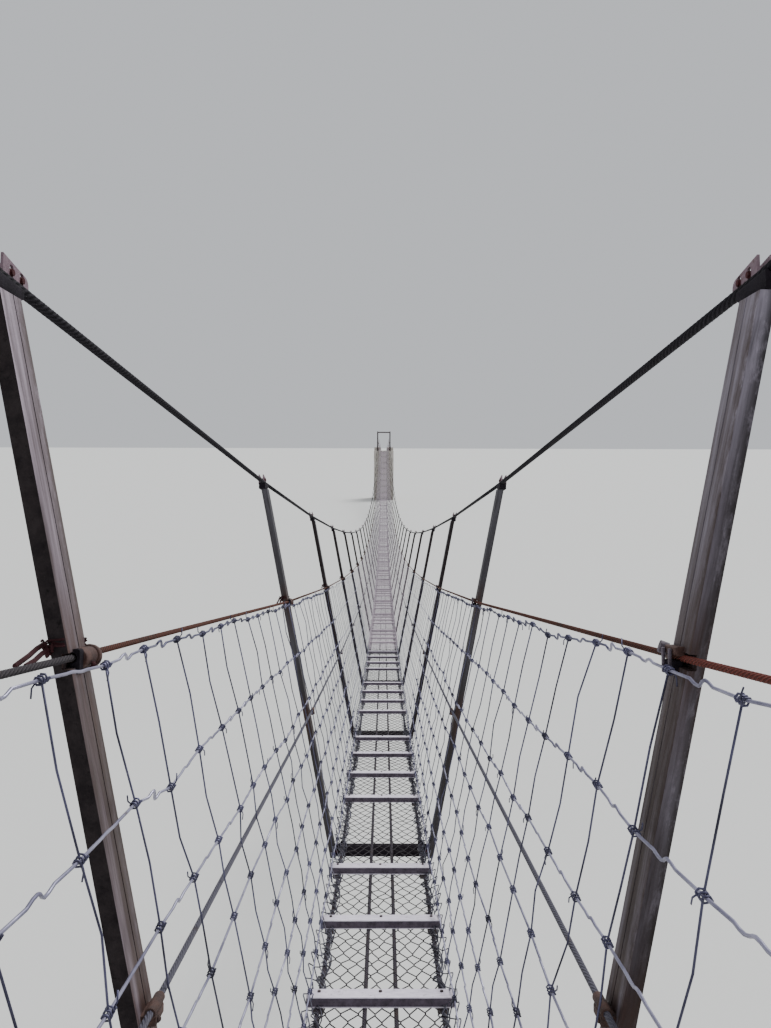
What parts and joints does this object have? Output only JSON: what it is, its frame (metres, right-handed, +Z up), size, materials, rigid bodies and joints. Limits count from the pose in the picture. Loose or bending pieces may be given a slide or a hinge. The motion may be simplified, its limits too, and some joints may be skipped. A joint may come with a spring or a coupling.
{
  "type": "rope suspension footbridge, 1:10 scale model",
  "caption": "1:10 model of a wire rope footbridge with V-shaped steel frames, rope handrails, metal treads, wire side nets and concrete abutments.",
  "frame": {"origin": "on the floor, midway between the abutments and midway between the two sides", "axes": "+Y along the bridge from the near tower to the far tower, +X to the walker's right, +Z up"},
  "size_m": [0.2, 9.4, 0.702],
  "materials": {
    "galvanised_steel": "weathered galvanised steel with brown streaks",
    "dark_steel": "dark weathered steel",
    "black_wire_rope": "dark greased wire rope of six strands",
    "rusted_wire_rope": "rusted wire rope",
    "galvanised_wire_rope": "grey galvanised wire rope",
    "tread_steel": "bright galvanised treads",
    "net_wire": "galvanised fence wire",
    "concrete": "rough weathered concrete"
  },
  "bodies": {
    "root": {"v_frame_01": "galvanised_steel", "v_frame_02": "galvanised_steel", "v_frame_03": "galvanised_steel", "v_frame_04": "galvanised_steel", "v_frame_05": "galvanised_steel", "v_frame_06": "galvanised_steel", "v_frame_07": "galvanised_steel", "v_frame_08": "galvanised_steel", "v_frame_09": "galvanised_steel", "v_frame_10": "galvanised_steel", "v_frame_11": "galvanised_steel", "v_frame_12": "galvanised_steel", "v_frame_13": "galvanised_steel", "v_frame_14": "galvanised_steel", "v_frame_15": "galvanised_steel", "v_frame_16": "galvanised_steel", "v_frame_17": "galvanised_steel", "v_frame_18": "galvanised_steel", "v_frame_19": "galvanised_steel", "v_frame_20": "galvanised_steel", "v_frame_21": "galvanised_steel", "v_frame_22": "galvanised_steel", "v_frame_23": "galvanised_steel", "v_frame_24": "galvanised_steel", "v_frame_25": "galvanised_steel", "v_frame_26": "galvanised_steel", "v_frame_27": "galvanised_steel", "v_frame_28": "galvanised_steel", "main_cable_left": "black_wire_rope", "handrail_cable_left": "rusted_wire_rope", "middle_cable_left": "galvanised_wire_rope", "main_cable_right": "black_wire_rope", "handrail_cable_right": "rusted_wire_rope", "middle_cable_right": "galvanised_wire_rope", "deck_section_1": "tread_steel", "deck_section_2": "tread_steel", "deck_section_3": "tread_steel", "deck_section_4": "tread_steel", "deck_section_5": "tread_steel", "deck_section_6": "tread_steel", "side_net_left_1": "net_wire", "side_net_left_2": "net_wire", "side_net_left_3": "net_wire", "side_net_left_4": "net_wire", "side_net_left_5": "net_wire", "side_net_left_6": "net_wire", "side_net_right_1": "net_wire", "side_net_right_2": "net_wire", "side_net_right_3": "net_wire", "side_net_right_4": "net_wire", "side_net_right_5": "net_wire", "side_net_right_6": "net_wire", "near_tower": "dark_steel", "near_abutment": "concrete", "far_tower": "dark_steel", "far_abutment": "concrete"}
  },
  "joints": []
}
